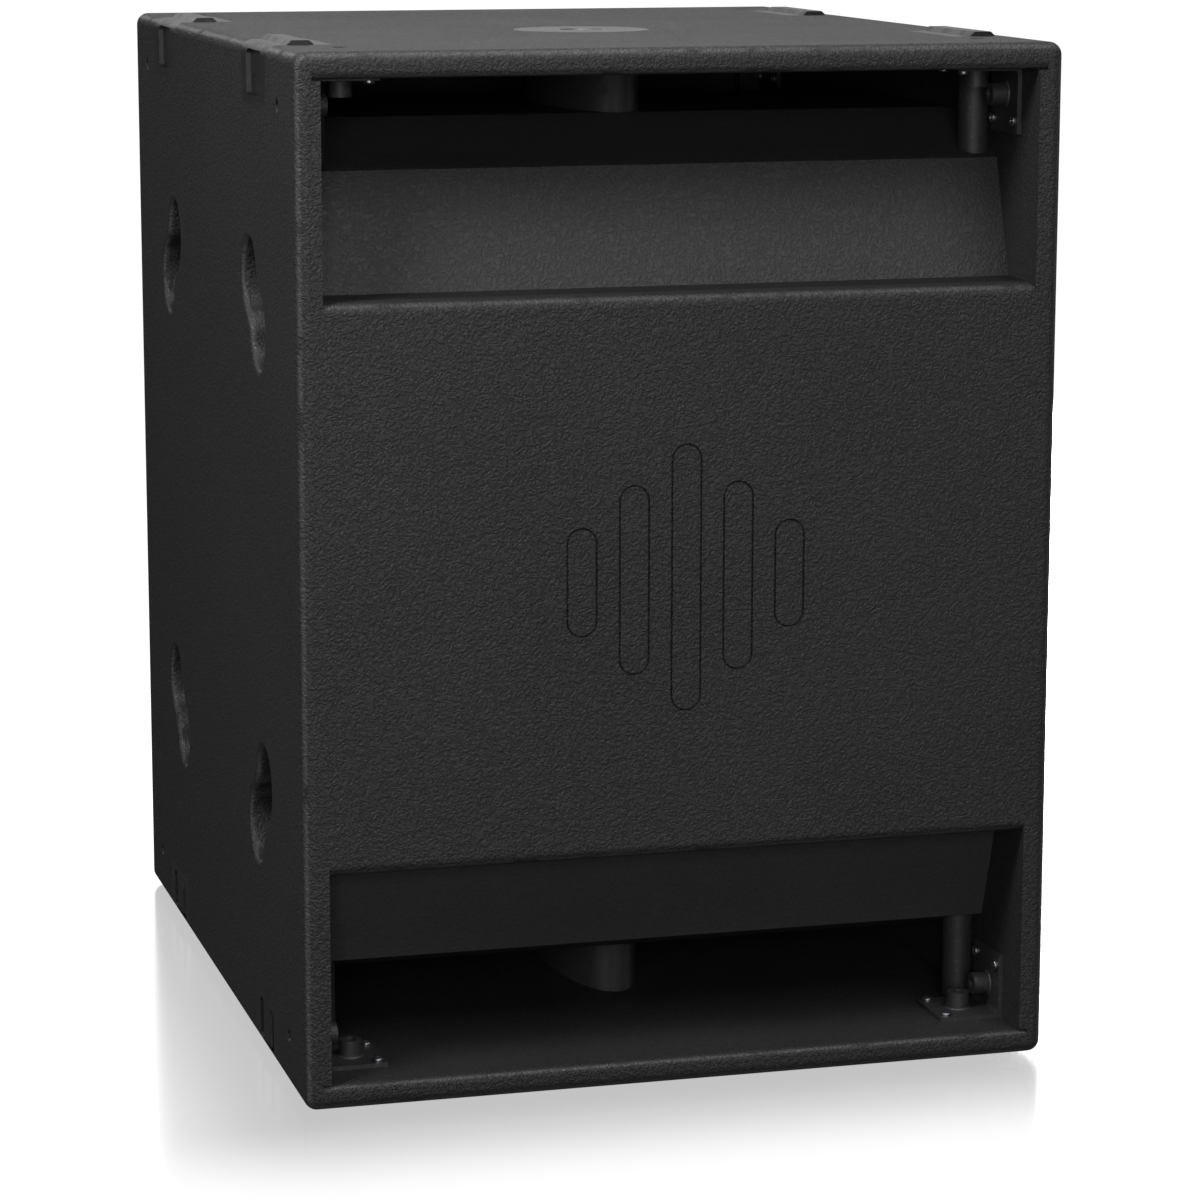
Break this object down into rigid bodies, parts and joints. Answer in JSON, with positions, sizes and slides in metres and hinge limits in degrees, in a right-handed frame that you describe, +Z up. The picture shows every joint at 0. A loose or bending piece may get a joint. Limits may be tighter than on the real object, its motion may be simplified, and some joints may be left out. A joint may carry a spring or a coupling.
{
  "type": "subwoofer cabinet",
  "caption": "Band-pass subwoofer cabinet in textured black plywood, with a slot mouth above and below a flush front panel, finger grips, stacking lugs and a pole socket.",
  "frame": {"origin": "on the floor, under the middle of the cabinet", "axes": "+X right seen from the front, +Y from the front panel to the back, +Z up"},
  "size_m": [0.538, 0.656, 0.7252],
  "materials": {
    "coated_plywood": "sprayed textured black coating over birch plywood",
    "birch_plywood": "bare birch plywood",
    "black_steel": "black powder coat on steel",
    "socket_steel": "satin black zinc on steel",
    "zinc_screws": "zinc-plated steel",
    "black_screws": "blackened steel",
    "moulded_nylon": "glass-filled black nylon",
    "cast_basket": "black-coated cast aluminium",
    "plated_iron": "yellow-grey plated soft iron",
    "ferrite": "sintered ferrite",
    "paper_cone": "pressed paper pulp",
    "treated_cloth": "resin-treated corrugated cloth",
    "copper_coil": "enamelled copper wire on a glass-fibre former",
    "foam_gasket": "closed-cell foam rubber",
    "amp_sheet": "fine-textured black powder coat",
    "galvanised_sheet": "galvanised steel sheet",
    "black_anodised": "black anodised aluminium",
    "circuit_laminate": "green solder-masked glass-fibre laminate",
    "wound_core": "taped toroidal winding",
    "can_sleeve": "dark sleeve on an aluminium can",
    "socket_plastic": "black moulded thermoplastic",
    "knob_plastic": "soft-touch black plastic",
    "button_plastic": "grey moulded plastic",
    "window_plastic": "smoked glossy acrylic",
    "lead_sheath": "black rubber sheath"
  },
  "bodies": {
    "cabinet": {"left_side_panel": "coated_plywood", "right_side_panel": "coated_plywood", "top_panel": "coated_plywood", "bottom_panel": "coated_plywood", "back_panel": "coated_plywood", "front_panel": "coated_plywood", "upper_mouth_ledge": "coated_plywood", "lower_mouth_ledge": "coated_plywood", "upper_deflector": "coated_plywood", "lower_deflector": "coated_plywood", "upper_ramp": "coated_plywood", "lower_ramp": "coated_plywood", "upper_port_shelf": "coated_plywood", "lower_port_shelf": "coated_plywood", "upper_column": "coated_plywood", "lower_column": "coated_plywood", "driver_baffle": "birch_plywood", "back_battens": "birch_plywood", "tie_tubes": "black_steel", "rigging_brackets": "black_steel", "pole_socket": "socket_steel", "pole_socket_screws": "black_screws", "back_panel_screws": "black_screws", "rigging_screws": "zinc_screws", "corner_screws": "black_screws", "driver_bolts": "zinc_screws", "driver_tee_nuts": "zinc_screws", "amp_screws": "black_screws", "left_handle_cups": "moulded_nylon", "right_handle_cups": "moulded_nylon", "stacking_lugs": "moulded_nylon", "stacking_skids": "moulded_nylon", "basket": "cast_basket", "driver_gasket": "foam_gasket", "front_pole_plate": "plated_iron", "rear_pole_plate": "plated_iron", "ring_magnet": "ferrite", "surround": "treated_cloth", "spider": "treated_cloth", "driver_terminals": "socket_plastic", "driver_lead": "lead_sheath", "amp_tray": "amp_sheet", "amp_gasket": "foam_gasket", "amp_housing": "galvanised_sheet", "heat_sink": "black_anodised", "circuit_board": "circuit_laminate", "transformer": "wound_core", "capacitors": "can_sleeve", "signal_sockets": "socket_plastic", "mains_inlet": "socket_plastic", "switch_frame": "socket_plastic", "status_window": "window_plastic"},
    "driver_moving_parts": {"cone": "paper_cone", "dust_cap": "paper_cone", "voice_coil": "copper_coil"},
    "power_rocker": {"power_rocker": "socket_plastic"},
    "level_knob": {"level_knob": "knob_plastic"},
    "menu_knob": {"menu_knob": "knob_plastic"},
    "preset_button": {"preset_button": "button_plastic"},
    "ground_button": {"ground_button": "button_plastic"}
  },
  "joints": [
    {"name": "cone_travel", "type": "slide", "parent": "cabinet", "child": "driver_moving_parts", "axis": [0, -1, 0], "range_m": [-0.009, 0.009], "stiffness_N_per_m": 6000},
    {"name": "power_switch", "type": "hinge", "parent": "cabinet", "child": "power_rocker", "pos_m": [0.118, 0.2875, 0.168], "axis": [1, 0, 0], "range_deg": [0, 20]},
    {"name": "level_turn", "type": "hinge", "parent": "cabinet", "child": "level_knob", "pos_m": [0.062, 0.3, 0.168], "axis": [0, 1, 0], "range_deg": [-150, 150]},
    {"name": "menu_turn", "type": "hinge", "parent": "cabinet", "child": "menu_knob", "pos_m": [0.02, 0.3, 0.112], "axis": [0, 1, 0], "continuous": true},
    {"name": "preset_press", "type": "slide", "parent": "cabinet", "child": "preset_button", "axis": [0, -1, 0], "range_m": [0, 0.0015], "stiffness_N_per_m": 500, "springref_m": -0.001},
    {"name": "ground_press", "type": "slide", "parent": "cabinet", "child": "ground_button", "axis": [0, -1, 0], "range_m": [0, 0.0015], "stiffness_N_per_m": 500, "springref_m": -0.001}
  ]
}
